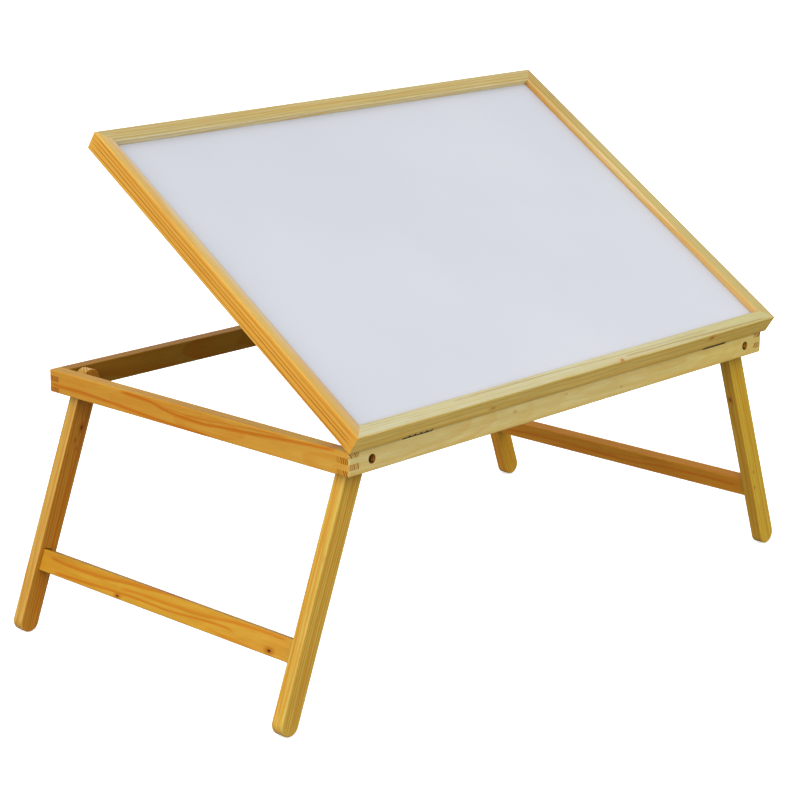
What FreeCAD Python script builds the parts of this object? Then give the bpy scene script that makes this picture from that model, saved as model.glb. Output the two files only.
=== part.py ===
import FreeCAD, Part
import math
import os

V = FreeCAD.Vector
os.makedirs("parts", exist_ok=True)

# ---------------------------------------------------------------------------
# Driving dimensions, millimetres and degrees.
# The base frame is drawn first with its front left top corner at 0, 0, 0:
# X runs along the front rail, Y from front to back, Z up.
# Everything is moved to the floor frame when it is written.
# ---------------------------------------------------------------------------
base_len = 600.0          # outside length of the base frame, along X
base_wid = 405.0          # outside depth of the base frame, along Y
rail_h = 22.0             # height of the rails
side_t = 13.0             # thickness of the left and right rails
front_t = 14.0            # thickness of the front and back rails
finger_n = 4              # fingers in each corner joint
corner_r = 2.2            # rounding of the outer upright corners
arris_r = 1.0             # rounding of the long outer edges of the rails
inner_r = 0.7             # rounding of the long inner edges of the rails

tray_x0 = -1.0            # left end of the tray
tray_x1 = 604.4           # right end of the tray
tray_dep = 402.0          # depth of the tray, front to back
tray_t = 20.0             # height of the tray mouldings
mould_w = 14.2            # width of the tray mouldings
tray_over = 2.0           # the tray's front face stands this far before the front rail
tray_gap = 0.6            # gap between tray and base when the tray is down
tray_tilt = 33.65         # tilt of the tray as it stands
panel_t = 3.2             # thickness of the white panel
panel_down = 8.2          # the panel's face lies this far below the moulding's top
groove_d = 4.7            # depth of the groove that holds the panel

pin_y = 0.6               # tray hinge axis, behind the front rail's face
pin_z = 0.3               # tray hinge axis, above the base's top
barrel_r = 1.8            # hinge knuckles
hinge_pin_r = 0.9
leaf_t = 0.7
leaf_len = 37.0
hinge_x = (85.3, 518.0)   # middle of the left and right hinge

pivot_x_left = 28.7       # leg pivots from the left end
pivot_x_right = 28.2      # leg pivots from the right end
pivot_z = -11.0
splay_left = 20.9         # lean of the left legs from upright
splay_right = 19.1        # lean of the right legs from upright
leg_w = 21.0              # width of the legs
leg_t = 13.0              # thickness of the legs, along Y
leg_len_right = 237.0     # pivot to the middle of the round foot, right pair
leg_gap = 1.3             # room between a rail and a leg, which holds the washer
leg_r = 1.2               # rounding of the legs' long edges

str_mid = 178.6           # middle of the stretcher below the pivot, along the leg
str_h = 21.0
str_t = 11.0
str_house = 8.0           # how far the stretcher is let into the legs
str_slack = 0.8           # the housing is this much longer than the stretcher is high

bore_r = 4.25             # counterbore over the pivot screws
bore_d = 9.0
shank_r = 2.0
shank_run = 0.05          # running clearance of the shank in the rail
head_r = 3.7
head_h = 2.6

guide_x0 = 281.0          # guide rail of the prop, left and right faces
guide_x1 = 295.0
guide_low = -6.0          # top of the rail at its ends
guide_high = 7.6          # top of the rail along its slot
guide_bot = -21.0
prop_a = 180.0            # hinge axis to prop pivot, and prop pivot to clamp stud
prop_x = 306.6            # middle of the prop
prop_w = 20.0
prop_t = 10.0
prop_pin_r = 2.0
stud_r = 2.5              # clamp stud, which slides along the slot
slot_gap = 0.3            # room between stud and slot
wing_r = 8.1              # reach of the nut's wings, which turn freely under the lowered panel
nut_run = 0.05            # running clearance of the nut on the stud

# The part's origin: on the floor, under the middle of the whole object.
origin_x = 296.3
origin_y = 196.0


# ---------------------------------------------------------------------------
# Helpers
# ---------------------------------------------------------------------------
def box(x0, x1, y0, y1, z0, z1):
    return Part.makeBox(x1 - x0, y1 - y0, z1 - z0, V(x0, y0, z0))


def cyl(r, p, d, length):
    return Part.makeCylinder(r, length, V(*p), V(*d))


def fuse(*shapes):
    out = shapes[0].fuse(list(shapes[1:])) if len(shapes) > 1 else shapes[0]
    return out.removeSplitter()


def round_edges(shape, radius, test):
    edges = [e for e in shape.Edges if test(e)]
    return shape.makeFillet(radius, edges) if edges else shape


def along(edge, axis, tol=1e-4):
    a, b = edge.Vertexes[0].Point, edge.Vertexes[-1].Point
    d = b.sub(a)
    if d.Length < tol:
        return False
    d.normalize()
    return abs(abs(d.dot(V(*axis))) - 1) < 1e-6


def mid(edge):
    return edge.BoundBox.Center


def prism_x(points, x0, x1):
    """A solid whose section is given in Y and Z, running along X."""
    w = Part.makePolygon([V(x0, y, z) for y, z in points] + [V(x0, *points[0])])
    return Part.Face(w).extrude(V(x1 - x0, 0, 0))


# ---------------------------------------------------------------------------
# Base frame: four rails, finger jointed at the corners
# ---------------------------------------------------------------------------
step = rail_h / finger_n
ring = box(0, base_len, 0, base_wid, -rail_h, 0)
ring = round_edges(ring, corner_r, lambda e: along(e, (0, 0, 1)))
ring = ring.makeFillet(arris_r, [e for e in ring.Edges
                                 if abs(mid(e).z) < 1e-6 or abs(mid(e).z + rail_h) < 1e-6])
hole = box(side_t, base_len - side_t, front_t, base_wid - front_t, -rail_h - 1, 1)
ring = ring.cut(hole)
ring = ring.makeFillet(inner_r, [
    e for e in ring.Edges
    if (abs(mid(e).z) < 1e-6 or abs(mid(e).z + rail_h) < 1e-6)
    and side_t - 0.01 <= mid(e).x <= base_len - side_t + 0.01
    and front_t - 0.01 <= mid(e).y <= base_wid - front_t + 0.01
    and (along(e, (1, 0, 0)) or along(e, (0, 1, 0)))
    and (abs(mid(e).x - side_t) < 1e-3 or abs(mid(e).x - base_len + side_t) < 1e-3
         or abs(mid(e).y - front_t) < 1e-3 or abs(mid(e).y - base_wid + front_t) < 1e-3)])


def level(k, x0, x1, y0, y1):
    """One finger's cell: k counts from 0 at the top."""
    top = 1.0 if k == 0 else -k * step
    bot = -rail_h - 1.0 if k == finger_n - 1 else -(k + 1) * step
    return box(x0, x1, y0, y1, bot, top)


def end_rail(y0, y1):
    tool = box(-1, base_len + 1, y0, y1, -rail_h - 1, 1)
    for k in (0, 2):
        tool = tool.cut(level(k, -2, side_t, y0 - 1, y1 + 1))
        tool = tool.cut(level(k, base_len - side_t, base_len + 2, y0 - 1, y1 + 1))
    return ring.common(tool)


def side_rail(x0, x1):
    tool = box(x0, x1, -1, base_wid + 1, -rail_h - 1, 1)
    for k in (1, 3):
        tool = tool.cut(level(k, x0 - 1, x1 + 1, -2, front_t))
        tool = tool.cut(level(k, x0 - 1, x1 + 1, base_wid - front_t, base_wid + 2))
    return ring.common(tool)


front_rail = end_rail(-1, front_t)
back_rail = end_rail(base_wid - front_t, base_wid + 1)
left_rail = side_rail(-1, side_t)
right_rail = side_rail(base_len - side_t, base_len + 1)

pivots = {"left": pivot_x_left, "right": base_len - pivot_x_right}


def rail_bores(rail, y_out, inward):
    """Counterbore from outside, then a running hole for the pivot screw."""
    for x in pivots.values():
        rail = rail.cut(cyl(bore_r, (x, y_out - inward * 1, pivot_z), (0, inward, 0), bore_d + 1))
        rail = rail.cut(cyl(shank_r + shank_run, (x, y_out, pivot_z), (0, inward, 0), front_t + 1))
    return rail


front_rail = rail_bores(front_rail, 0.0, 1)
back_rail = rail_bores(back_rail, base_wid, -1)

# ---------------------------------------------------------------------------
# Slotted guide rail between the front and back rails, on blind dowels
# ---------------------------------------------------------------------------
stud_y_down = pin_y + 2 * prop_a
stud_y_up = pin_y + 2 * prop_a * math.cos(math.radians(tray_tilt))
guide = prism_x([
    (front_t, guide_bot), (base_wid - front_t, guide_bot), (base_wid - front_t, guide_low),
    (380.0, guide_low), (376.0, guide_high), (286.0, guide_high), (262.0, guide_low),
    (front_t, guide_low)], guide_x0, guide_x1)
guide = round_edges(guide, 0.8, lambda e: abs(abs(mid(e).x - (guide_x0 + guide_x1) / 2)
                                              - (guide_x1 - guide_x0) / 2) < 1e-3
                    and front_t + 1 < mid(e).y < base_wid - front_t - 1)
slot_h = stud_r + slot_gap
slot = box(guide_x0 - 1, guide_x1 + 1, stud_y_up, stud_y_down, pin_z - slot_h, pin_z + slot_h)
for y in (stud_y_up, stud_y_down):
    slot = slot.fuse(cyl(slot_h, (guide_x0 - 1, y, pin_z), (1, 0, 0), guide_x1 - guide_x0 + 2))
guide = guide.cut(slot.removeSplitter())

dowels = []
gx = (guide_x0 + guide_x1) / 2
for y0 in (front_t - 8.0, base_wid - front_t - 16.0):
    b = cyl(3.0, (gx, y0, (guide_bot + guide_low) / 2), (0, 1, 0), 24.0)
    guide = guide.cut(b)
    front_rail = front_rail.cut(b)
    back_rail = back_rail.cut(b)
    dowels.append(b.makeChamfer(0.5, [e for e in b.Edges if len(e.Vertexes) == 1]))

# ---------------------------------------------------------------------------
# Tray, drawn lying flat on the base
# ---------------------------------------------------------------------------
ty0 = -tray_over
ty1 = ty0 + tray_dep
tz0 = tray_gap
tz1 = tz0 + tray_t
groove_top = tray_t - panel_down
groove_bot = groove_top - panel_t


def mould_section():
    """Section of the moulding: u inward from the outer face, w up from the underside."""
    m = mould_w
    pts = []

    def ln(a, b):
        pts.append(Part.LineSegment(V(a[0], a[1], 0), V(b[0], b[1], 0)).toShape())

    def arc(a, b, c):
        pts.append(Part.Arc(V(a[0], a[1], 0), V(b[0], b[1], 0), V(c[0], c[1], 0)).toShape())

    t = tray_t
    ln((0.8, 0), (m - 0.6, 0))
    ln((m - 0.6, 0), (m, 0.6))
    ln((m, 0.6), (m, groove_bot))
    ln((m, groove_bot), (m - groove_d, groove_bot))
    ln((m - groove_d, groove_bot), (m - groove_d, groove_top))
    ln((m - groove_d, groove_top), (m, groove_top))
    ln((m, groove_top), (m, t - 3.2))
    arc((m, t - 3.2), (m - 0.62, t - 1.32), (m - 2.4, t - 0.42))
    arc((m - 2.4, t - 0.42), (m - 6.0, t - 0.10), (1.1, t))
    arc((1.1, t), (0.322, t - 0.322), (0, t - 1.1))
    ln((0, t - 1.1), (0, 0.8))
    arc((0, 0.8), (0.234, 0.234), (0.8, 0))
    return Part.Wire(pts)


section = mould_section()


def moulding(side):
    """One mitred side of the tray frame."""
    m, o = mould_w + 1.0, 6.0
    x0, x1, y0, y1 = tray_x0, tray_x1, ty0, ty1
    face = Part.Face(section)
    face.rotate(V(0, 0, 0), V(1, 0, 0), 90)
    if side in ("front", "back"):
        # u runs along +Y and w along +Z
        face.rotate(V(0, 0, 0), V(0, 0, 1), 90)
        body = face.extrude(V(x1 - x0 + 2 * o, 0, 0))
        if side == "back":
            body = body.mirror(V(0, 0, 0), V(0, 1, 0))
        body.translate(V(x0 - o, y1 if side == "back" else y0, tz0))
    else:
        # u runs along +X and w along +Z
        body = face.extrude(V(0, y1 - y0 + 2 * o, 0))
        if side == "right":
            body = body.mirror(V(0, 0, 0), V(1, 0, 0))
        body.translate(V(x1 if side == "right" else x0, y0 - o, tz0))
    plan = {
        "front": [(x0 - o, y0 - o), (x1 + o, y0 - o), (x1 - m, y0 + m), (x0 + m, y0 + m)],
        "back": [(x0 - o, y1 + o), (x1 + o, y1 + o), (x1 - m, y1 - m), (x0 + m, y1 - m)],
        "left": [(x0 - o, y0 - o), (x0 - o, y1 + o), (x0 + m, y1 - m), (x0 + m, y0 + m)],
        "right": [(x1 + o, y0 - o), (x1 + o, y1 + o), (x1 - m, y1 - m), (x1 - m, y0 + m)],
    }[side]
    w = Part.makePolygon([V(x, y, tz0 - 1) for x, y in plan + [plan[0]]])
    cutter = Part.Face(w).extrude(V(0, 0, tray_t + 2))
    return body.common(cutter)


mould = {s: moulding(s) for s in ("front", "back", "left", "right")}
inset = mould_w - groove_d + 0.2
panel = box(tray_x0 + inset, tray_x1 - inset, ty0 + inset, ty1 - inset,
            tz0 + groove_bot, tz0 + groove_top)

# cross bar under the panel, tenoned into the side mouldings; it carries the prop
prop_py = pin_y + prop_a
prop_pz = pin_z
cb_w = 28.0
cross = box(tray_x0 + mould_w, tray_x1 - mould_w, prop_py - cb_w / 2, prop_py + cb_w / 2,
            tz0, tz0 + groove_bot)
cross = round_edges(cross, 0.8, lambda e: along(e, (1, 0, 0)) and mid(e).z < tz0 + 1)
for xa, xb in ((tray_x0 + mould_w - 5, tray_x0 + mould_w), (tray_x1 - mould_w, tray_x1 - mould_w + 5)):
    tenon = box(xa, xb, prop_py - 8, prop_py + 8, tz0 + 1.6, tz0 + 7.0)
    cross = cross.fuse(tenon)
    side = "left" if xa < 100 else "right"
    mould[side] = mould[side].cut(tenon)
cross = cross.removeSplitter()
bk = prop_w / 2 + 0.6      # inner face of each bracket from the prop's middle
bt = 1.5                   # thickness of the brackets
cross = cross.cut(box(prop_x - bk - bt - 0.1, prop_x + bk + bt + 0.1,
                      prop_py - cb_w, prop_py + cb_w, tz0 - 1, tz0 + 5.3))

# ---------------------------------------------------------------------------
# Prop and its brackets, drawn folded flat under the tray
# ---------------------------------------------------------------------------
pr = prop_t / 2
prop = fuse(
    box(prop_x - prop_w / 2, prop_x + prop_w / 2, prop_py, prop_py + prop_a,
        prop_pz - pr, prop_pz + pr),
    cyl(pr, (prop_x - prop_w / 2, prop_py, prop_pz), (1, 0, 0), prop_w),
    cyl(pr, (prop_x - prop_w / 2, prop_py + prop_a, prop_pz), (1, 0, 0), prop_w))
prop = round_edges(prop, 0.8, lambda e: abs(abs(mid(e).x - prop_x) - prop_w / 2) < 1e-3)
prop = prop.cut(cyl(prop_pin_r + shank_run, (prop_x - 20, prop_py, prop_pz), (1, 0, 0), 40))


def csk_screw(p, d, head_rad, rad, length, head_depth):
    """Countersunk wood screw with a cross recess; p is the middle of its head's face."""
    p, d = V(*p), V(*d)
    cone = Part.makeCone(head_rad, rad, head_depth, p, d)
    shank = Part.makeCylinder(rad, length - head_depth - rad, p.add(d * head_depth), d)
    tip = Part.makeCone(rad, 0.15, rad, p.add(d * (length - rad)), d)
    solid = cone.fuse([shank, tip]).removeSplitter()
    s = 0.32 * head_rad
    a = V(1, 0, 0) if abs(d.x) < 0.9 else V(0, 1, 0)
    b = d.cross(a)
    for u, w in ((a, b), (b, a)):
        o = p.sub(u * (head_rad * 0.62)).sub(w * (s / 2)).sub(d * 0.2)
        slot = Part.Face(Part.makePolygon([o, o.add(u * head_rad * 1.24),
                                           o.add(u * head_rad * 1.24).add(w * s),
                                           o.add(w * s), o])).extrude(d * (0.2 + head_depth * 0.55))
        solid = solid.cut(slot)
    return solid


def csk_bore(p, d, head_rad, rad, length, head_depth):
    p, d = V(*p), V(*d)
    cone = Part.makeCone(head_rad, rad, head_depth, p, d)
    shank = Part.makeCylinder(rad, length - head_depth - rad, p.add(d * head_depth), d)
    tip = Part.makeCone(rad, 0.15, rad, p.add(d * (length - rad)), d)
    return cone.fuse([shank, tip]).removeSplitter()


bracket_parts, prop_screws = [], []
for sgn in (-1, 1):
    xa, xb = prop_x + sgn * bk, prop_x + sgn * (bk + bt)
    plate = box(min(xa, xb), max(xa, xb), prop_py - 7, prop_py + 7, prop_pz - 4.3, tz0 + 5.0)
    plate = round_edges(plate, 4.0, lambda e: along(e, (1, 0, 0)) and mid(e).z < prop_pz)
    fa, fb = xb, prop_x + sgn * (bk + bt + 14.3)
    flange = box(min(fa, fb), max(fa, fb), prop_py - 7, prop_py + 7, tz0 - 1.5, tz0)
    flange = round_edges(flange, 2.0, lambda e: along(e, (0, 0, 1)) and abs(mid(e).x - fb) < 1e-3)
    b = plate.fuse(flange).removeSplitter()
    b = b.cut(cyl(prop_pin_r, (prop_x - 30, prop_py, prop_pz), (1, 0, 0), 60))
    # room in the flange for the pin's head
    b = b.cut(cyl(3.2, (xb if sgn > 0 else xb - 1.6, prop_py, prop_pz), (1, 0, 0), 1.6))
    sp = (prop_x + sgn * (bk + bt + 7.8), prop_py, tz0 - 1.5)
    args = (sp, (0, 0, 1), 2.7, 1.3, 9.0, 1.4)
    bore = csk_bore(*args)
    b = b.cut(bore)
    cross = cross.cut(bore)
    bracket_parts.append(b)
    prop_screws.append(csk_screw(*args))
prop_bracket = Part.makeCompound(bracket_parts)
pl = bk + bt
prop_pin = fuse(cyl(prop_pin_r, (prop_x - pl - 0.7, prop_py, prop_pz), (1, 0, 0), 2 * pl + 1.4),
                cyl(2.9, (prop_x - pl - 1.2, prop_py, prop_pz), (1, 0, 0), 1.2),
                cyl(2.9, (prop_x + pl, prop_py, prop_pz), (1, 0, 0), 1.2))
cross = cross.cut(cyl(3.1, (prop_x - pl - 1.5, prop_py, prop_pz), (1, 0, 0), 2 * pl + 3.0))

# Clamp at the prop's foot: a stud through the guide rail's slot, washers and a wing nut
sy, sz = prop_py + prop_a, prop_pz
prop_x0 = prop_x - prop_w / 2
prop_x1 = prop_x + prop_w / 2
nut_x1 = guide_x0 - slot_gap - 1.2
stud = fuse(cyl(stud_r, (nut_x1 - 9.0, sy, sz), (1, 0, 0), prop_x1 - nut_x1 + 9.5),
            cyl(4.6, (prop_x1, sy, sz), (1, 0, 0), 2.2))
stud = stud.makeFillet(0.8, [e for e in stud.Edges if len(e.Vertexes) == 1
                             and abs(mid(e).x - prop_x1 - 2.2) < 1e-3])
prop = prop.cut(cyl(stud_r, (prop_x0 - 1, sy, sz), (1, 0, 0), prop_w + 2))
clamp_washers = []
for x in (guide_x0 - slot_gap - 1.2, guide_x1 + slot_gap):
    w = cyl(5.0, (x, sy, sz), (1, 0, 0), 1.2 if x < guide_x0 else prop_x0 - guide_x1 - slot_gap)
    clamp_washers.append(w.cut(cyl(stud_r, (x - 1, sy, sz), (1, 0, 0), 5)))
hub = Part.makeCone(3.6, 4.6, 6.0, V(nut_x1 - 6.0, sy, sz), V(1, 0, 0))
wing_nut = hub
for sgn in (-1, 1):
    pts = [(nut_x1 - 1.5, sy + sgn * 3.0), (nut_x1 - 6.0, sy + sgn * 2.8),
           (nut_x1 - 9.5, sy + sgn * 5.2), (nut_x1 - 10.5, sy + sgn * 7.3),
           (nut_x1 - 8.5, sy + sgn * wing_r), (nut_x1 - 4.5, sy + sgn * 6.7)]
    w = Part.makePolygon([V(x, y, sz - 1.0) for x, y in pts + [pts[0]]])
    wing = Part.Face(w).extrude(V(0, 0, 2.0))
    wing = round_edges(wing, 0.6, lambda e: along(e, (0, 0, 1)) and abs(mid(e).y - sy) > 6)
    wing_nut = wing_nut.fuse(wing)
wing_nut = wing_nut.removeSplitter().cut(cyl(stud_r + nut_run, (nut_x1 - 20, sy, sz), (1, 0, 0), 30))

# ---------------------------------------------------------------------------
# Tray hinges: small butt hinges with five knuckles, let into rail and moulding
# ---------------------------------------------------------------------------
n_kn = 5
kn = leaf_len / n_kn
base_leaves, tray_leaves, hinge_pins = [], [], []
base_screws, tray_screws = [], []
for hx in hinge_x:
    xa = hx - leaf_len / 2
    bl = box(xa, xa + leaf_len, pin_y, 12.6, -0.5, -0.5 + leaf_t)
    tl = box(xa, xa + leaf_len, pin_y, 11.0, tz0 + 0.5 - leaf_t, tz0 + 0.5)
    bl = round_edges(bl, 1.5, lambda e: along(e, (0, 0, 1)) and mid(e).y > 5)
    tl = round_edges(tl, 1.5, lambda e: along(e, (0, 0, 1)) and mid(e).y > 5)
    room = cyl(barrel_r + 0.15, (xa - 1, pin_y, pin_z), (1, 0, 0), leaf_len + 2)
    bl = bl.cut(room)
    tl = tl.cut(room)
    for k in range(n_kn):
        ka = xa + k * kn + (0.15 if k else 0.0)
        kb = xa + (k + 1) * kn - (0.15 if k < n_kn - 1 else 0.0)
        tube = cyl(barrel_r, (ka, pin_y, pin_z), (1, 0, 0), kb - ka)
        if k % 2 == 0:
            neck = box(ka, kb, pin_y + 0.6, pin_y + barrel_r + 0.6, -0.5, -0.5 + leaf_t)
            bl = bl.fuse([tube, neck])
        else:
            neck = box(ka, kb, pin_y + 0.6, pin_y + barrel_r + 0.6, tz0 + 0.5 - leaf_t, tz0 + 0.5)
            tl = tl.fuse([tube, neck])
    bore_b = cyl(hinge_pin_r, (xa - 1, pin_y, pin_z), (1, 0, 0), leaf_len + 2)
    bore_t = cyl(hinge_pin_r + 0.05, (xa - 1, pin_y, pin_z), (1, 0, 0), leaf_len + 2)
    bl = bl.removeSplitter().cut(bore_b)
    tl = tl.removeSplitter().cut(bore_t)
    pin = cyl(hinge_pin_r, (xa - 0.3, pin_y, pin_z), (1, 0, 0), leaf_len + 0.6)
    # recesses in the wood
    slot_b = box(xa - 0.6, xa + leaf_len + 0.6, -1, pin_y + barrel_r + 0.5, -2.3, 1)
    slot_t = box(xa - 0.6, xa + leaf_len + 0.6, ty0 - 1, pin_y + barrel_r + 0.5, tz0 - 1, tz0 + 1.9)
    mort_b = box(xa, xa + leaf_len, 0, 12.6, -0.5, 1)
    mort_t = box(xa, xa + leaf_len, 0, 11.0, tz0 - 1, tz0 + 0.5)
    front_rail = front_rail.cut(slot_b).cut(mort_b)
    mould["front"] = mould["front"].cut(slot_t).cut(mort_t)
    for dx in (-12.0, 12.0):
        ab = ((hx + dx, 7.6, -0.5 + leaf_t), (0, 0, -1), 2.3, 1.1, 11.0, 1.2)
        at = ((hx + dx, 6.6, tz0 + 0.5 - leaf_t), (0, 0, 1), 2.3, 1.1, 7.6, 1.2)
        cb, ct = csk_bore(*ab), csk_bore(*at)
        bl, front_rail = bl.cut(cb), front_rail.cut(cb)
        tl, mould["front"] = tl.cut(ct), mould["front"].cut(ct)
        base_screws.append(csk_screw(*ab))
        tray_screws.append(csk_screw(*at))
    base_leaves.append(bl)
    tray_leaves.append(tl)
    hinge_pins.append(pin)

# corner nails under the tray's mitres: folded steel strips driven across the joint
v_nails = []
for cx, sx in ((tray_x0, 1), (tray_x1, -1)):
    for cy, sy in ((ty0, 1), (ty1, -1)):
        for off in (5.0, 9.6):
            px, py = cx + sx * off, cy + sy * off
            if off > 9 and groove_bot < 7.0:
                continue
            d = V(sx, sy, 0).normalize()
            n = V(-d.y, d.x, 0)
            c = V(px, py, tz0)
            pts = [c.add(d * 1.6).add(n * -2.6), c.add(d * -0.2), c.add(d * 1.6).add(n * 2.6),
                   c.add(d * 1.0).add(n * 2.6), c.add(d * -0.8), c.add(d * 1.0).add(n * -2.6)]
            w = Part.makePolygon(pts + [pts[0]])
            nail = Part.Face(w).extrude(V(0, 0, 6.0))
            v_nails.append(nail)
            fs = "front" if sy > 0 else "back"
            ss = "left" if sx > 0 else "right"
            mould[fs] = mould[fs].cut(nail)
            mould[ss] = mould[ss].cut(nail)

# ---------------------------------------------------------------------------
# Leg pairs, each drawn hanging straight down from its pivot and then splayed
# ---------------------------------------------------------------------------
leg_drop = leg_len_right * math.cos(math.radians(splay_right))
leg_len = {"right": leg_len_right, "left": leg_drop / math.cos(math.radians(splay_left))}
splay = {"left": splay_left, "right": -splay_right}
yf = front_t + leg_gap
yb = base_wid - front_t - leg_gap - leg_t
floor_z = pivot_z - leg_drop - leg_w / 2


def leg(side, y0):
    r, n = leg_w / 2, leg_len[side]
    a = Part.LineSegment(V(-r, y0, 0), V(-r, y0, -n)).toShape()
    b = Part.Arc(V(-r, y0, -n), V(0, y0, -n - r), V(r, y0, -n)).toShape()
    c = Part.LineSegment(V(r, y0, -n), V(r, y0, 0)).toShape()
    d = Part.Arc(V(r, y0, 0), V(0, y0, r), V(-r, y0, 0)).toShape()
    s = Part.Face(Part.Wire([a, b, c, d])).extrude(V(0, leg_t, 0))
    return round_edges(s, leg_r, lambda e: abs(mid(e).y - y0) < 1e-3 or abs(mid(e).y - y0 - leg_t) < 1e-3)


def place(shape, side):
    shape.rotate(V(0, 0, 0), V(0, 1, 0), splay[side])
    shape.translate(V(pivots[side], 0, pivot_z))
    return shape


def pivot_screw(y_face, inward):
    """Pan head screw: the head sits in the counterbore, the shank runs in the rail."""
    y_head = y_face + inward * (bore_d - 0.15)
    d = (0, inward, 0)
    head = cyl(head_r, (0, y_head - inward * head_h, 0), d, head_h)
    head = round_edges(head, 1.1, lambda e: len(e.Vertexes) == 1 and
                       abs(mid(e).y - (y_head - inward * head_h)) < 1e-3)
    length = (front_t - bore_d) + leg_gap + 10.0
    shank = cyl(shank_r, (0, y_head - inward * 0.01, 0), d, length)
    tip_y = y_head - inward * 0.01 + inward * length
    tip = Part.makeCone(shank_r, 0.3, 2.0, V(0, tip_y, 0), V(*d))
    s = fuse(head, shank, tip)
    for a, b in ((2.2, 0.45), (0.45, 2.2)):
        ya = y_head - inward * (head_h + 0.1)
        yb_ = y_head - inward * (head_h - 1.5)
        s = s.cut(box(-a, a, min(ya, yb_), max(ya, yb_), -b, b))
    bore = fuse(cyl(shank_r, (0, y_head, 0), d, length - 0.01),
                Part.makeCone(shank_r, 0.3, 2.0, V(0, tip_y, 0), V(*d)))
    return s, bore


legs, stretchers, screws, washers = {}, {}, {}, {}
for side in ("left", "right"):
    st = box(-str_t / 2, str_t / 2, yf + leg_t - str_house, yb + str_house,
             -str_mid - str_h / 2, -str_mid + str_h / 2)
    st = round_edges(st, 1.0, lambda e: along(e, (0, 1, 0)))
    pair = []
    sc, wa = [], []
    for y0, y_face, inward in ((yf, 0.0, 1), (yb, base_wid, -1)):
        lg = leg(side, y0)
        ys = (yf + leg_t - str_house, yf + leg_t + 1) if inward > 0 else (yb - 1, yb + str_house)
        lg = lg.cut(box(-str_t / 2, str_t / 2, ys[0], ys[1],
                        -str_mid - str_h / 2, -str_mid + str_h / 2 + str_slack))
        s, bore = pivot_screw(y_face, inward)
        lg = lg.cut(bore)
        w0 = y0 - 1.0 if inward > 0 else y0 + leg_t
        wash = cyl(5.0, (0, w0, 0), (0, 1, 0), 1.0)
        wash = wash.cut(cyl(shank_r + 0.15, (0, w0 - 1, 0), (0, 1, 0), 3.0))
        pair.append(place(lg, side))
        sc.append(place(s, side))
        wa.append(place(wash, side))
    legs[side] = pair
    stretchers[side] = place(st, side)
    screws[side] = Part.makeCompound(sc)
    washers[side] = Part.makeCompound(wa)

# ---------------------------------------------------------------------------
# Tilt the tray, and stand the prop up under it
# ---------------------------------------------------------------------------
axis_p, axis_d = V(0, pin_y, pin_z), V(1, 0, 0)


def tilt(shape):
    shape.rotate(axis_p, axis_d, tray_tilt)
    return shape




def stand(shape):
    shape.rotate(V(0, prop_py, prop_pz), V(1, 0, 0), -2 * tray_tilt)
    return tilt(shape)



nodes = {
    "front_rail": front_rail,
    "back_rail": back_rail,
    "left_rail": left_rail,
    "right_rail": right_rail,
    "prop_guide_rail": guide,
    "guide_rail_dowels": Part.makeCompound(dowels),
    "left_hinge_base_leaf": base_leaves[0],
    "right_hinge_base_leaf": base_leaves[1],
    "left_hinge_pin": hinge_pins[0],
    "right_hinge_pin": hinge_pins[1],
    "hinge_base_screws": Part.makeCompound(base_screws),
    "tray_front_moulding": tilt(mould["front"]),
    "tray_back_moulding": tilt(mould["back"]),
    "tray_left_moulding": tilt(mould["left"]),
    "tray_right_moulding": tilt(mould["right"]),
    "tray_panel": tilt(panel),
    "tray_crossbar": tilt(cross),
    "tray_corner_nails": tilt(Part.makeCompound(v_nails)),
    "left_hinge_tray_leaf": tilt(tray_leaves[0]),
    "right_hinge_tray_leaf": tilt(tray_leaves[1]),
    "hinge_tray_screws": tilt(Part.makeCompound(tray_screws)),
    "prop_brackets": tilt(prop_bracket),
    "prop_bracket_screws": tilt(Part.makeCompound(prop_screws)),
    "prop_pivot_pin": tilt(prop_pin),
    "prop_strut": stand(prop),
    "prop_clamp_stud": stand(stud),
    "prop_clamp_washers": stand(Part.makeCompound(clamp_washers)),
    "prop_wing_nut": stand(wing_nut),
}
for side in ("left", "right"):
    nodes[side + "_front_leg"] = legs[side][0]
    nodes[side + "_back_leg"] = legs[side][1]
    nodes[side + "_stretcher"] = stretchers[side]
    nodes[side + "_pivot_screws"] = screws[side]
    nodes[side + "_pivot_washers"] = washers[side]

shift = V(-origin_x, -origin_y, -floor_z)
total = None
for name, shape in nodes.items():
    shape.translate(shift)
    bad = [s for s in shape.Solids if not s.isValid()]
    print(name, "solids", len(shape.Solids), "valid", not bad, "volume %.0f" % shape.Volume)
    total = shape.BoundBox if total is None else total.united(shape.BoundBox)
    shape.exportStep("parts/" + name + ".step")
print("box", total.XMin, total.XMax, total.YMin, total.YMax, total.ZMin, total.ZMax)
print("floor_z", floor_z, "left leg", leg_len["left"])
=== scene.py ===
import math

import bpy
from mathutils import Matrix, Vector


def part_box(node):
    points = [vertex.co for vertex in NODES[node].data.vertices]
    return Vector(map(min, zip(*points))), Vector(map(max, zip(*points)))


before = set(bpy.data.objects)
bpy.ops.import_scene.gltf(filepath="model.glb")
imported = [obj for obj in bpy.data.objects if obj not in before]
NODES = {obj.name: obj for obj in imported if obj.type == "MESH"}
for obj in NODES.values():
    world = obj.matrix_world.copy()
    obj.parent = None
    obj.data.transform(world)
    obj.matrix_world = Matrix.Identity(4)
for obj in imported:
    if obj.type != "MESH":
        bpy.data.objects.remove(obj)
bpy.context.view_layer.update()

# ---------------------------------------------------------------------------
# Where things are: the base frame's front left top corner in the row frame
# ---------------------------------------------------------------------------
lo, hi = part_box("front_rail")
BX, BY, BZ = lo[0], lo[1], hi[2]
TILT = math.radians(33.65)
SPLAY = {"left": math.radians(20.9), "right": math.radians(-19.1)}
PIN = Vector((BX, BY + 0.0006, BZ + 0.0003))


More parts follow.
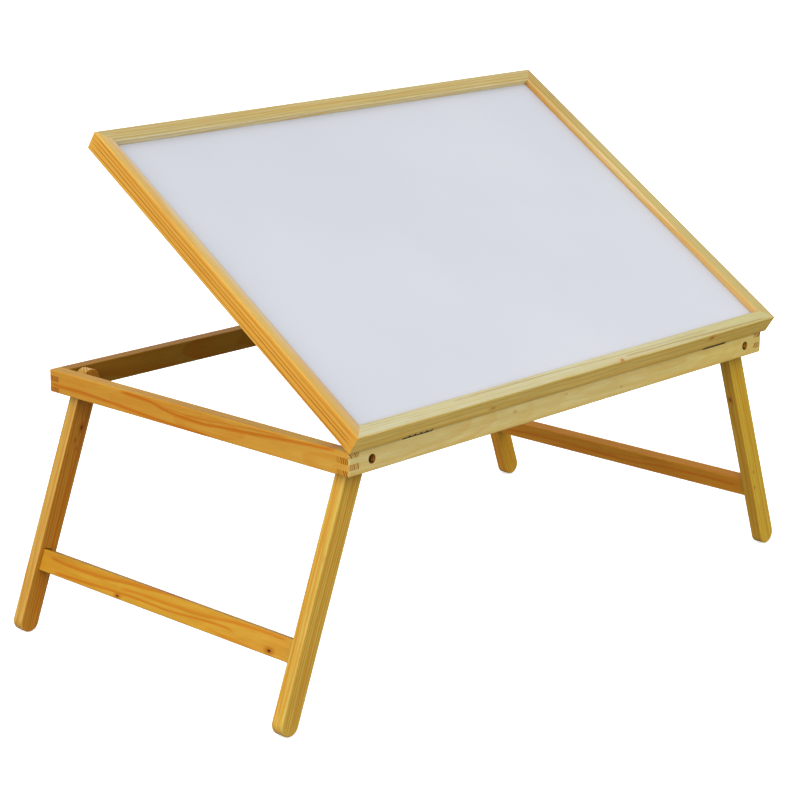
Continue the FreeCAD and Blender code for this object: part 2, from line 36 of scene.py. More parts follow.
def base_pt(x, y, z):
    return Vector((BX + x / 1000, BY + y / 1000, BZ + z / 1000))


# ---------------------------------------------------------------------------
# Node tree helper
# ---------------------------------------------------------------------------
class Tree:
    def __init__(self, name):
        self.mat = bpy.data.materials.new(name)
        self.mat.use_nodes = True
        self.t = self.mat.node_tree
        self.t.nodes.clear()
        self.out = self.t.nodes.new("ShaderNodeOutputMaterial")
        self.bsdf = self.t.nodes.new("ShaderNodeBsdfPrincipled")
        self.t.links.new(self.bsdf.outputs[0], self.out.inputs[0])

    def n(self, kind, **props):
        node = self.t.nodes.new(kind)
        for k, v in props.items():
            setattr(node, k, v)
        return node

    def put(self, value, socket):
        if isinstance(value, bpy.types.NodeSocket):
            self.t.links.new(value, socket)
        else:
            socket.default_value = value

    def m(self, op, a, b=0.0, c=0.0, clamp=False):
        node = self.n("ShaderNodeMath", operation=op, use_clamp=clamp)
        for v, s in zip((a, b, c), node.inputs):
            self.put(v, s)
        return node.outputs[0]

    def vm(self, op, a, b=(0, 0, 0)):
        node = self.n("ShaderNodeVectorMath", operation=op)
        self.put(a, node.inputs[0])
        if op == "SCALE":
            self.put(b, node.inputs["Scale"])
        else:
            self.put(b, node.inputs[1])
        return node.outputs["Value"] if op in ("DOT_PRODUCT", "LENGTH") else node.outputs[0]

    def noise(self, vec, scale=1.0, detail=2.0, rough=0.5, dims="3D"):
        node = self.n("ShaderNodeTexNoise", noise_dimensions=dims)
        self.put(vec, node.inputs["Vector"])
        node.inputs["Scale"].default_value = scale
        node.inputs["Detail"].default_value = detail
        node.inputs["Roughness"].default_value = rough
        return node.outputs[0]

    def ramp(self, fac, *stops):
        node = self.n("ShaderNodeValToRGB")
        el = node.color_ramp.elements
        while len(el) < len(stops):
            el.new(0.5)
        for e, (p, c) in zip(el, stops):
            e.position = p
            e.color = (c, c, c, 1) if isinstance(c, (int, float)) else (*c, 1)
        self.put(fac, node.inputs[0])
        return node.outputs[0]

    def smooth(self, x, a, b, lo=0.0, hi=1.0):
        node = self.n("ShaderNodeMapRange", interpolation_type="SMOOTHSTEP")
        for v, k in ((x, 0), (a, 1), (b, 2), (lo, 3), (hi, 4)):
            self.put(v, node.inputs[k])
        return node.outputs[0]

    def mix(self, fac, a, b, blend="MIX"):
        node = self.n("ShaderNodeMix", data_type="RGBA", blend_type=blend)
        self.put(fac, node.inputs[0])
        for v, k in ((a, 6), (b, 7)):
            if not isinstance(v, bpy.types.NodeSocket):
                v = (*v, 1) if len(v) == 3 else v
            self.put(v, node.inputs[k])
        return node.outputs[2]

    def xyz(self, vec):
        node = self.n("ShaderNodeSeparateXYZ")
        self.put(vec, node.inputs[0])
        return node.outputs

    def vec(self, x, y, z):
        node = self.n("ShaderNodeCombineXYZ")
        for v, s in zip((x, y, z), node.inputs):
            self.put(v, s)
        return node.outputs[0]

    def local(self, origin, along, across):
        """Position in metres in a member's own frame: x along its grain, y across, z the third way."""
        u = Vector(along).normalized()
        v = Vector(across).normalized()
        w = u.cross(v)
        rot = Matrix((u, v, w)).transposed().to_euler("XYZ")
        tc = self.n("ShaderNodeTexCoord")
        out = []
        for src, place in (("Object", origin), ("Normal", (0, 0, 0))):
            mp = self.n("ShaderNodeMapping", vector_type="TEXTURE")
            self.put(tc.outputs[src], mp.inputs[0])
            mp.inputs["Location"].default_value = place
            mp.inputs["Rotation"].default_value = rot
            out.append(mp.outputs[0])
        return out


def lin(c):
    return tuple((x / 255 / 12.92) if x <= 10 else ((x / 255 + 0.055) / 1.055) ** 2.4 for x in c)


def scaled(c, k):
    return tuple(min(1.0, x * y) for x, y in zip(c, k if isinstance(k, tuple) else (k, k, k)))


# ---------------------------------------------------------------------------
# Pine: year rings round a pith line that lies off the member, cut by its faces
# ---------------------------------------------------------------------------
def pine(name, origin, along, across, early, late, pith=(0.0, 0.04), ring=0.0034, seed=0.0,
         drift=(0.02, 0.02), wave=0.004, contrast=1.0, knots=(), rough=0.34, end=None, streak=0.5,
         tone=0.16, lines=1.0, light_and_tone_tints=(), end_line=(0.22, 0.065, 0.012), end_ring=0.0024, curves=(), curve_color=None,
         patch=0.5, crease_shade=0.5, gloss=0.14, shaded_bores=()):
    """early and late are the two wood colours, linear. pith is the pith line's place across the member,
    in metres, ring the year rings' spacing, drift how far the pith line leans per metre. curves are late
    wood bands given one by one: points along and across the member in millimetres, width and strength.
    knots are (along, across, axis it lies across, radius, strength), in millimetres; with the axis "p" the
    second value is a pair and the mark is only a spot. The last argument holds the counterbores' centres, (along,
    across)
    in millimetres: painted shade darkens their walls to a fifth or less."""
    t = Tree(name)
    pos, nrm = t.local(origin, along, across)
    u, v, w = t.xyz(pos)
    nu, nv, nw = t.xyz(nrm)
    slow = t.vec(t.m("MULTIPLY_ADD", u, 3.1, seed), t.m("MULTIPLY", v, 9.0), t.m("MULTIPLY", w, 9.0))
    slow2 = t.vec(t.m("MULTIPLY_ADD", u, 9.0, seed + 7.3), t.m("MULTIPLY", v, 30.0), t.m("MULTIPLY", w, 30.0))
    wob1 = t.m("SUBTRACT", t.noise(slow, 1.0, 2.0), 0.5)
    wob2 = t.m("SUBTRACT", t.noise(t.vm("ADD", slow, (11.0, 3.0, 5.0)), 1.0, 2.0), 0.5)
    wob3 = t.m("SUBTRACT", t.noise(slow2, 1.0, 3.0), 0.5)
    pv = t.m("ADD", t.m("MULTIPLY_ADD", u, drift[0], pith[0]), t.m("MULTIPLY", wob1, wave * 5))
    pw = t.m("ADD", t.m("MULTIPLY_ADD", u, drift[1], pith[1]), t.m("MULTIPLY", wob2, wave * 5))
    dv, dw = t.m("SUBTRACT", v, pv), t.m("SUBTRACT", w, pw)
    r = t.m("SQRT", t.m("ADD", t.m("MULTIPLY", dv, dv), t.m("MULTIPLY", dw, dw)))
    r_end = r
    r = t.m("ADD", r, t.m("MULTIPLY", wob3, wave * 0.55))
    # knots bend the rings round themselves
    knot_core = knot_ring = None
    for ku, kc, way, kr, ks in knots:
        kr = kr / 1000
        a = t.m("SUBTRACT", u, ku / 1000)
        d = t.m("MULTIPLY", t.m("MULTIPLY", a, a), 0.30)
        for src, c in ((v, kc[0]), (w, kc[1])) if way == "p" else (({"v": v, "w": w}[way], kc),):
            b = t.m("SUBTRACT", src, c / 1000)
            d = t.m("ADD", d, t.m("MULTIPLY", b, b))
        d = t.m("SQRT", d)
        d = t.m("MULTIPLY_ADD", t.m("SUBTRACT", t.noise(t.vm("SCALE", pos, 500.0), 1.0, 2.0), 0.5), kr * 0.8, d)
        r = t.m("ADD", r, t.m("MULTIPLY", t.smooth(d, 0.0, kr * 5.0, 1.0, 0.0), kr * 1.5))
        core = t.smooth(d, kr * 0.45, kr * 1.1, ks, 0.0)
        halo = t.smooth(d, kr * 1.0, kr * 3.2, ks * 0.6, 0.0)
        knot_core = core if knot_core is None else t.m("MAXIMUM", knot_core, core)
        knot_ring = halo if knot_ring is None else t.m("MAXIMUM", knot_ring, halo)

    def rings(radius, spacing):
        phase = t.m("DIVIDE", radius, spacing)
        # years differ in width
        phase = t.m("ADD", phase, t.m("MULTIPLY", t.m("SUBTRACT", t.noise(
            t.vec(t.m("MULTIPLY", radius, 130.0), seed, 0.0), 1.0, 1.0), 0.5), 1.5))
        f = t.m("FRACT", phase)
        strength = t.noise(t.vec(t.m("MULTIPLY", t.m("FLOOR", phase), 7.31), seed * 1.7, t.m("MULTIPLY", u, 2.0)), 1.0, 1.0)
        return f, t.smooth(strength, 0.25, 0.7, 0.35, 1.0)

    f, strength = rings(r, ring)
    band = t.m("MULTIPLY", t.smooth(f, 0.20, 0.88), t.smooth(f, 0.91, 1.0, 1.0, 0.0))
    band = t.m("MULTIPLY", band, strength)
    # fibres
    fib = t.noise(t.vec(t.m("MULTIPLY_ADD", u, 16.0, seed), t.m("MULTIPLY", v, 1500.0), t.m("MULTIPLY", w, 1500.0)), 1.0, 3.0, 0.6)
    fib2 = t.noise(t.vec(t.m("MULTIPLY_ADD", u, 5.0, seed + 3.0), t.m("MULTIPLY", v, 420.0), t.m("MULTIPLY", w, 420.0)), 1.0, 3.0, 0.55)
    pores = t.smooth(t.noise(t.vec(t.m("MULTIPLY_ADD", u, 55.0, seed + 9.0), t.m("MULTIPLY", v, 1700.0), t.m("MULTIPLY", w, 1700.0)), 1.0, 1.0), 0.64, 0.74)
    big = t.noise(t.vec(t.m("MULTIPLY_ADD", u, 6.0, seed + 20.0), t.m("MULTIPLY", v, 60.0), t.m("MULTIPLY", w, 60.0)), 1.0, 2.0)
    mottle = t.noise(t.vec(t.m("MULTIPLY_ADD", u, 22.0, seed + 31.0), t.m("MULTIPLY", v, 160.0), t.m("MULTIPLY", w, 160.0)), 1.0, 3.0, 0.6)
    lateness = t.m("MULTIPLY", band, contrast)
    lateness = t.m("ADD", lateness, t.m("MULTIPLY", t.m("SUBTRACT", fib2, 0.5), streak), clamp=True)
    # sapwood patches
    warm = t.mix(t.m("MULTIPLY", t.smooth(mottle, 0.42, 0.68), patch), early, scaled(early, (1.05, 1.13, 1.35)))
    col = t.mix(lateness, warm, late)
    for pts, way, width, force in curves:
        lo_u, hi_u = min(q[0] for q in pts), max(q[0] for q in pts)
        lo_v, hi_v = min(q[1] for q in pts) - 1, max(q[1] for q in pts) + 1
        fc = t.n("ShaderNodeFloatCurve")
        cm = fc.mapping.curves[0]
        q = sorted(((a - lo_u) / (hi_u - lo_u), (b - lo_v) / (hi_v - lo_v)) for a, b in pts)
        cm.points[0].location, cm.points[1].location = q[0], q[-1]
        for a in q[1:-1]:
            cm.points.new(*a)
        fc.mapping.update()
        t.put(t.m("DIVIDE", t.m("SUBTRACT", u, lo_u / 1000), (hi_u - lo_u) / 1000, clamp=True), fc.inputs["Value"])
        mid_v = t.m("MULTIPLY_ADD", fc.outputs[0], (hi_v - lo_v) / 1000, lo_v / 1000)
        off = t.m("SUBTRACT", {"v": v, "w": w}[way], mid_v)
        off = t.m("ADD", off, t.m("MULTIPLY", t.m("SUBTRACT", fib2, 0.5), 0.0016))
        off = t.m("ADD", off, t.m("MULTIPLY", wob3, 0.0030))
        side = t.m("DIVIDE", off, width / 1000)
        hill = t.m("MULTIPLY", t.smooth(side, -1.0, -0.1), t.smooth(side, 0.1, 0.55, 1.0, 0.0))
        fade = t.m("MULTIPLY", t.smooth(u, lo_u / 1000, lo_u / 1000 + 0.012), t.smooth(u, hi_u / 1000 - 0.012, hi_u / 1000, 1.0, 0.0))
        hill = t.m("MULTIPLY", t.m("MULTIPLY", hill, fade), force)
        col = t.mix(hill, col, curve_color or scaled(late, (1.0, 0.92, 0.6)))
    # painted light and shade: tints keyed on a face's normal (nv, nw) make whole faces lighter, darker and paler as the
    # light falls on them; bands across a member (v, w) do the same for part of a face; tints along u shift the colour
    # along the member
    for axis, a, b, tint in light_and_tone_tints:
        src = {"u": u, "v": v, "w": w, "nv": nv, "nw": nw}[axis]
        col = t.mix(t.smooth(src, a, b), col, t.mix(1.0, col, tint, "MULTIPLY"))
    # painted shade: the counterbores' walls are darkened to a fifth or less
    for bu, bv in shaded_bores:
        a, b = t.m("SUBTRACT", u, bu / 1000), t.m("SUBTRACT", v, bv / 1000)
        d = t.m("SQRT", t.m("ADD", t.m("MULTIPLY", a, a), t.m("MULTIPLY", b, b)))
        col = t.mix(t.smooth(d, 0.00428, 0.00442, 1.0, 0.0), col, t.mix(1.0, col, (0.20, 0.125, 0.09), "MULTIPLY"))
    shade = t.m("ADD", 1.0 - tone / 2, t.m("MULTIPLY", t.m("SUBTRACT", big, 0.25), tone))
    shade = t.m("MULTIPLY", shade, t.m("MULTIPLY_ADD", t.m("SUBTRACT", fib, 0.5), 0.26 * lines, 1.0))
    shade = t.m("MULTIPLY", shade, t.m("MULTIPLY_ADD", pores, -0.20 * lines, 1.0))
    # end grain drinks more finish, and its late wood shows as brown strokes
    face_end = t.smooth(t.m("ABSOLUTE", nu), 0.55, 0.9)
    f_end, s_end = rings(r_end, end_ring)
    stroke = t.m("MULTIPLY", t.smooth(f_end, 0.35, 0.55), t.smooth(f_end, 0.84, 0.98, 1.0, 0.0))
    stroke = t.m("MULTIPLY", stroke, s_end)
    ecol = t.mix(stroke, end or scaled(early, (0.86, 0.78, 0.6)), end_line)
    col = t.mix(face_end, col, ecol)
    if knot_core is not None:
        col = t.mix(knot_ring, col, scaled(late, (0.75, 0.5, 0.35)))
        col = t.mix(knot_core, col, scaled(late, (0.22, 0.12, 0.09)))
    # painted shade: creases and corners found by ambient occlusion are darkened
    if crease_shade:
        ao = t.n("ShaderNodeAmbientOcclusion", samples=4, only_local=False)
        ao.inputs["Distance"].default_value = 0.0032
        shade = t.m("MULTIPLY", shade, t.smooth(ao.outputs["AO"], 0.15, 0.75, 1.0 - crease_shade, 1.0))
    col = t.mix(1.0, col, t.vec(shade, shade, shade), "MULTIPLY")
    t.put(col, t.bsdf.inputs["Base Color"])
    rg = t.m("ADD", rough, t.m("MULTIPLY", t.m("SUBTRACT", fib2, 0.5), 0.14))
    rg = t.m("ADD", rg, t.m("MULTIPLY", face_end, 0.22))
    t.put(rg, t.bsdf.inputs["Roughness"])
    t.bsdf.inputs["Specular IOR Level"].default_value = gloss
    h = t.m("ADD", t.m("MULTIPLY", band, 0.5), t.m("MULTIPLY", fib, 0.35))
    h = t.m("SUBTRACT", h, t.m("MULTIPLY", pores, 0.5))
    bump = t.n("ShaderNodeBump")
    bump.inputs["Strength"].default_value = 0.32
    bump.inputs["Distance"].default_value = 0.00012
    t.put(h, bump.inputs["Height"])
    t.put(bump.outputs[0], t.bsdf.inputs["Normal"])
    return t.mat


def laminate(name):
    t = Tree(name)
    pos, _ = t.local(PIN, (1, 0, 0), (0, math.cos(TILT), math.sin(TILT)))
    cloud = t.noise(t.vm("SCALE", pos, 5.0), 1.0, 3.0)
    speck = t.noise(t.vm("SCALE", pos, 900.0), 1.0, 2.0)
    peel = t.noise(t.vm("SCALE", pos, 260.0), 1.0, 2.0, 0.6)
    col = t.mix(t.smooth(cloud, 0.3, 0.7), PANEL_A, PANEL_B)
    # painted light: the sheet is a shade lighter towards the front, as the picture has it
    px, py, pz = t.xyz(pos)
    k = t.m("MULTIPLY_ADD", t.m("SUBTRACT", speck, 0.5), 0.05, t.smooth(py, 0.0, 0.40, 1.0, 0.957))
    col = t.mix(1.0, col, t.vec(k, k, k), "MULTIPLY")
    t.put(col, t.bsdf.inputs["Base Color"])
    t.put(t.m("MULTIPLY_ADD", t.m("SUBTRACT", cloud, 0.5), 0.12, 0.46), t.bsdf.inputs["Roughness"])
    bump = t.n("ShaderNodeBump")
    bump.inputs["Strength"].default_value = 0.12
    bump.inputs["Distance"].default_value = 0.00008
    t.put(t.m("ADD", peel, t.m("MULTIPLY", speck, 0.4)), bump.inputs["Height"])
    t.put(bump.outputs[0], t.bsdf.inputs["Normal"])
    return t.mat


def metal(name, base, dark, rough, along, brushed=900.0, knuckle_gap_shade=None):
    t = Tree(name)
    tc = t.n("ShaderNodeTexCoord")
    pos = tc.outputs["Object"]
    x, y, z = t.xyz(pos)
    s = [18.0 if k == along else brushed for k in range(3)]
    br = t.noise(t.vec(t.m("MULTIPLY", x, s[0]), t.m("MULTIPLY", y, s[1]), t.m("MULTIPLY", z, s[2])), 1.0, 2.0)
    blot = t.noise(t.vm("SCALE", pos, 140.0), 1.0, 3.0, 0.6)
    col = t.mix(t.smooth(blot, 0.35, 0.75), base, dark)
    if knuckle_gap_shade:
        # painted shade: dark bands where the gaps between the knuckles are
        first, pitch, width = knuckle_gap_shade
        f = t.m("FRACT", t.m("DIVIDE", t.m("SUBTRACT", x, first - pitch / 2), pitch))
        f = t.m("ADD", t.m("ABSOLUTE", t.m("SUBTRACT", f, 0.5)), t.m("MULTIPLY", t.m("SUBTRACT", blot, 0.5), 0.12))
        col = t.mix(t.smooth(f, width / pitch * 0.35, width / pitch * 0.65, 1.0, 0.0), col, (0.020, 0.012, 0.006))
    t.put(col, t.bsdf.inputs["Base Color"])
    t.bsdf.inputs["Metallic"].default_value = 1.0
    rg = t.m("ADD", rough, t.m("MULTIPLY", t.m("SUBTRACT", br, 0.5), 0.2))
    t.put(t.m("ADD", rg, t.m("MULTIPLY", blot, 0.12)), t.bsdf.inputs["Roughness"])
    bump = t.n("ShaderNodeBump")
    bump.inputs["Strength"].default_value = 0.2
    bump.inputs["Distance"].default_value = 0.00005
    t.put(br, bump.inputs["Height"])
    t.put(bump.outputs[0], t.bsdf.inputs["Normal"])
    return t.mat


PANEL_A = (0.398, 0.410, 0.455)
PANEL_B = (0.420, 0.430, 0.470)


def paint(node, mat):
    o = NODES[node]
    o.data.materials.clear()
    o.data.materials.append(mat)
    for poly in o.data.polygons:
        poly.material_index = 0


def tones(mean, spread=1.0):
    """Light early wood and dark late wood round a mean colour, linear."""
    up, down = (1.05, 1.23, 1.9), (0.97, 0.70, 0.25)
    return (tuple(m * (1 + (k - 1) * spread) for m, k in zip(mean, up)),
            tuple(m * (1 + (k - 1) * spread) for m, k in zip(mean, down)))


C, S_ = math.cos(TILT), math.sin(TILT)
T_V = (0, C, S_)
T_N = (0, -S_, C)


def tray_pt(x, y, z):
    """A point of the tray drawn flat, in base frame millimetres, tilted as it stands."""
    dy, dz = (y - 0.6) / 1000, (z - 0.3) / 1000
    return Vector((BX + x / 1000, PIN.y + dy * C - dz * S_, PIN.z + dy * S_ + dz * C))


# mean wood colours per member, linear: partly the wood's own tone and partly painted light and shade, fitted to how lit
# each member looks; the back rail's is darkened as painted shade under the tray
TONE_AND_SHADE = {
    "front_rail": (0.51, 0.357, 0.096),
    "back_rail": (0.26, 0.11, 0.012),
    "left_rail": (0.424, 0.170, 0.0115),
    "right_rail": (0.40, 0.18, 0.02),
    "tray_front": (0.68, 0.44, 0.078),
    "tray_back": (0.347, 0.248, 0.066),
    "tray_left": (0.54, 0.248, 0.0255),
    "tray_right": (0.45, 0.26, 0.07),
    "hidden": (0.44, 0.25, 0.04),
    "guide": (0.52, 0.29, 0.06),
    "left_front_leg": (0.44, 0.22, 0.022),
    "left_back_leg": (0.40, 0.18, 0.018),
    "right_front_leg": (0.40, 0.21, 0.015),
    "right_back_leg": (0.42, 0.22, 0.015),
    "left_stretcher": (0.40, 0.174, 0.0085),
    "right_stretcher": (0.41, 0.140, 0.0058),
}

# the tints passed below paint light and shade on the members' faces
paint("front_rail", pine("pine_front_rail", base_pt(300, 7, -11), (1, 0, 0), (0, 0, 1), *tones(TONE_AND_SHADE["front_rail"], 0.6),
                         pith=(0.012, 0.060), ring=0.0030, seed=1.3, drift=(0.010, 0.02), wave=0.006,
                         contrast=0.35, tone=0.22, streak=0.5, patch=0.9, end=(0.46, 0.215, 0.020),
                         end_line=(0.21, 0.050, 0.004), crease_shade=0.75,
                         light_and_tone_tints=(("v", -0.006, -0.011, (0.93, 0.86, 0.66)), ("u", 0.0, 0.29, (0.98, 0.95, 0.76))),
                         knots=((-85, 3.5, "v", 0.7, 0.5), (-12, 5.5, "v", 0.6, 0.45), (70, -3.5, "v", 0.7, 0.4)),
                         shaded_bores=((-271.3, 0), (271.8, 0))))
paint("back_rail", pine("pine_back_rail", base_pt(300, 398, -11), (1, 0, 0), (0, 0, 1), *tones(TONE_AND_SHADE["back_rail"]),
                        pith=(0.01, -0.05), ring=0.003, seed=5.1, drift=(0.01, 0.02), contrast=0.6,
                        end=(0.36, 0.15, 0.02), end_line=(0.22, 0.05, 0.006),
                        light_and_tone_tints=(("nw", 0.4, 0.9, (0.96, 0.92, 0.50)), ("nv", 0.4, 0.9, (1.08, 0.96, 0.30))), gloss=0.06,
                        shaded_bores=((-271.3, 0), (271.8, 0))))
paint("left_rail", pine("pine_left_rail", base_pt(6.5, 202, -11), (0, 1, 0), (0, 0, 1), *tones(TONE_AND_SHADE["left_rail"], 1.0),
                        pith=(-0.002, -0.032), ring=0.0042, seed=2.2, drift=(0.045, -0.03), wave=0.006,
                        contrast=0.35, streak=0.45, tone=0.2, patch=0.8, curve_color=(0.39, 0.098, 0.002),
                        end=(0.47, 0.33, 0.10), end_line=(0.24, 0.085, 0.012), light_and_tone_tints=(("nv", 0.35, 0.9, (1.05, 1.10, 0.46)), ("u", 0.02, -0.18, (1.06, 1.16, 1.5))),
                        curves=(([(207, -0.6), (187, -2.6), (149, -2.9), (117, -4.3), (83, -5.6), (41, -7.8), (8, -9.2), (-30, -10.5)], "v", 3.4, 0.8),
                                ([(100, 8.9), (76, 8.4), (54, 7.2), (34, 3.4), (6, 1.0), (-14, 0.3), (-41, 1.9), (-80, 4.3), (-118, 7.3), (-156, 9.4), (-190, 10.8)], "v", 3.2, 0.85),
                                ([(64, 9.2), (45, 6.9), (20, 4.6), (-14, 4.4), (-50, 6.4), (-95, 8.9), (-130, 10.5)], "v", 1.6, 0.5))))
paint("right_rail", pine("pine_right_rail", base_pt(593.5, 202, -11), (0, 1, 0), (0, 0, 1), *tones(TONE_AND_SHADE["right_rail"]),
                         pith=(-0.040, 0.045), ring=0.0034, seed=8.4, contrast=0.7, end=(0.47, 0.32, 0.09),
                         end_line=(0.22, 0.075, 0.012), end_ring=0.0032))
paint("tray_front_moulding", pine("pine_tray_front", tray_pt(301, 5, 10.6), (1, 0, 0), T_V, *tones(TONE_AND_SHADE["tray_front"], 0.6),
                                  pith=(0.05, -0.02), ring=0.0024, seed=3.7, drift=(0.008, 0.012), wave=0.003,
                                  contrast=0.6, tone=0.16, patch=0.7, crease_shade=0.7,
                                  light_and_tone_tints=(("nw", 0.45, 0.85, (0.585, 0.75, 1.78)), ("u", 0.06, 0.29, (0.91, 0.88, 0.66)), ("w", -0.004, -0.0095, (0.90, 0.80, 0.6))),
                                  knots=((200, (-7, 5.0), "p", 1.5, 0.85), (55, (-5.6, 9.6), "p", 1.2, 0.95), (-122, (-7, -3.6), "p", 1.2, 0.7)),
                                  curve_color=(0.42, 0.20, 0.02),
                                  curves=(([(-300, 4.5), (-150, 5.2), (0, 5.8), (150, 6.4), (290, 7.2)], "w", 0.9, 0.5),
                                          ([(-300, -1.5), (-150, -0.8), (0, 0.2), (150, 0.6), (290, 1.6)], "w", 0.9, 0.4),
                                          ([(-180, 3.0), (-60, 2.4), (60, 1.2), (200, 1.0)], "v", 1.2, 0.5),
                                          ([(60, -2.0), (160, -2.8), (290, -4.2)], "v", 1.6, 0.6))))
paint("tray_back_moulding", pine("pine_tray_back", tray_pt(301, 393, 10.6), (1, 0, 0), T_V, *tones(TONE_AND_SHADE["tray_back"], 0.7),
                                 pith=(-0.05, -0.02), ring=0.0028, seed=6.9, drift=(0.01, 0.01), wave=0.003,
                                 contrast=0.8, tone=0.16, light_and_tone_tints=(("nv", -0.55, -1.0, (1.70, 1.80, 2.50)), ("u", -0.02, -0.28, (1.0, 1.04, 1.2))),
                                 curves=(([(-290, 1.0), (-150, 0.2), (0, -0.6), (150, -1.5), (290, -2.2)], "v", 1.6, 0.6),)))
paint("tray_left_moulding", pine("pine_tray_left", tray_pt(6, 199, 10.6), T_V, (1, 0, 0), *tones(TONE_AND_SHADE["tray_left"], 0.9),
                                 pith=(0.012, 0.07), ring=0.0046, seed=4.4, drift=(0.004, 0.010), wave=0.0015,
                                 contrast=0.45, tone=0.12, streak=0.7, curve_color=(0.37, 0.115, 0.003),
                                 light_and_tone_tints=(("nw", -0.45, -0.85, (0.79, 0.94, 1.35)), ("v", -0.0040, 0.0045, (0.96, 1.17, 3.0)),
                                        ("u", -0.02, -0.18, (0.95, 0.90, 0.80))),
                                 curves=(([(-200, 7.4), (-60, 7.0), (80, 6.2), (200, 6.0)], "w", 1.5, 0.85),
                                         ([(-200, 2.6), (-60, 2.0), (80, 1.6), (200, 0.6)], "w", 1.3, 0.95),
                                         ([(-200, -0.8), (-60, -1.4), (80, -2.0), (200, -3.0)], "w", 1.2, 0.85),
                                         ([(-200, -5.4), (-60, -5.8), (80, -6.2), (200, -7.2)], "w", 1.1, 0.75))))
paint("tray_right_moulding", pine("pine_tray_right", tray_pt(597, 199, 10.6), T_V, (1, 0, 0), *tones(TONE_AND_SHADE["tray_right"], 0.8),
                                  pith=(0.07, 0.01), ring=0.0030, seed=9.9, drift=(0.004, 0.006), wave=0.002,
                                  contrast=0.6, tone=0.14,
                                  light_and_tone_tints=(("nw", -0.45, -0.85, (0.79, 1.0, 1.0)), ("v", 0.0035, 0.0065, (0.80, 0.74, 0.5)),
                                         ("u", 0.03, 0.19, (0.87, 0.77, 0.57)), ("nv", -0.6, -0.95, (1.02, 1.09, 1.16))),
                                  curve_color=(0.42, 0.19, 0.02),
                                  curves=(([(-200, 1.5), (-60, 2.2), (80, 1.8), (200, 2.6)], "v", 1.0, 0.45),
                                          ([(-200, -2.6), (-60, -2.0), (80, -2.4), (200, -1.4)], "v", 1.2, 0.5))))
paint("tray_crossbar", pine("pine_crossbar", tray_pt(300, 180, 5), (1, 0, 0), T_V, *tones(TONE_AND_SHADE["hidden"]),
                            pith=(0.01, 0.04), ring=0.0032, seed=12.0))
paint("prop_guide_rail", pine("pine_guide", base_pt(288, 200, -12), (0, 1, 0), (0, 0, 1), *tones(TONE_AND_SHADE["guide"]),
                              pith=(0.01, 0.04), ring=0.0032, seed=13.0))
paint("prop_strut", pine("pine_strut", base_pt(306, 225, 50), (0, C, -S_), (1, 0, 0), *tones(TONE_AND_SHADE["hidden"]),
                         pith=(0.01, 0.04), ring=0.0030, seed=14.0))
paint("guide_rail_dowels", pine("beech_dowels", base_pt(288, 200, -13), (0, 1, 0), (0, 0, 1),
                                (0.42, 0.27, 0.13), (0.36, 0.2, 0.09), ring=0.002, seed=15.0, contrast=0.4))

KNOTS = {"left_back_leg": ((-73, 2.6, "v", 1.5, 1.0), (-60, -1.5, "v", 0.9, 0.6), (-52, 3.5, "v", 0.6, 0.6)),
         "right_front_leg": ((-56, -1.0, "w", 1.4, 0.9), (54, -6.5, "v", 0.7, 0.8), (36, -3.9, "v", 0.7, 0.6))}
CURVES = {"left_front_leg": (([(-120, -2.0), (-40, -1.0), (40, -2.0), (120, 0.5)], "w", 2.0, 0.6),
                             ([(-120, -6.5), (-20, -6.0), (60, -6.6), (128, -5.0)], "v", 1.6, 0.6),
                             ([(-120, 2.0), (-20, 1.0), (60, 1.5), (128, 3.5)], "v", 1.4, 0.6),
                             ([(-120, 6.5), (-20, 6.0), (60, 5.4), (128, 7.0)], "v", 1.6, 0.5)),
          "left_back_leg": (([(-120, 2.5), (-40, 3.0), (40, 2.0), (120, 3.5)], "w", 2.2, 0.5),
                            ([(-120, 5.0), (-60, 6.2), (0, 4.0), (120, 3.0)], "v", 3.0, 0.6)),
          "right_front_leg": (([(-120, -1.0), (-20, 0.5), (60, 2.0), (128, 2.2)], "v", 1.8, 0.7),
                              ([(-120, 4.0), (-20, 6.0), (60, 7.0), (128, 7.6)], "v", 1.6, 0.45)),
          "right_back_leg": (([(-120, 3.0), (0, 2.0), (120, 1.0)], "v", 2.4, 0.5),)}
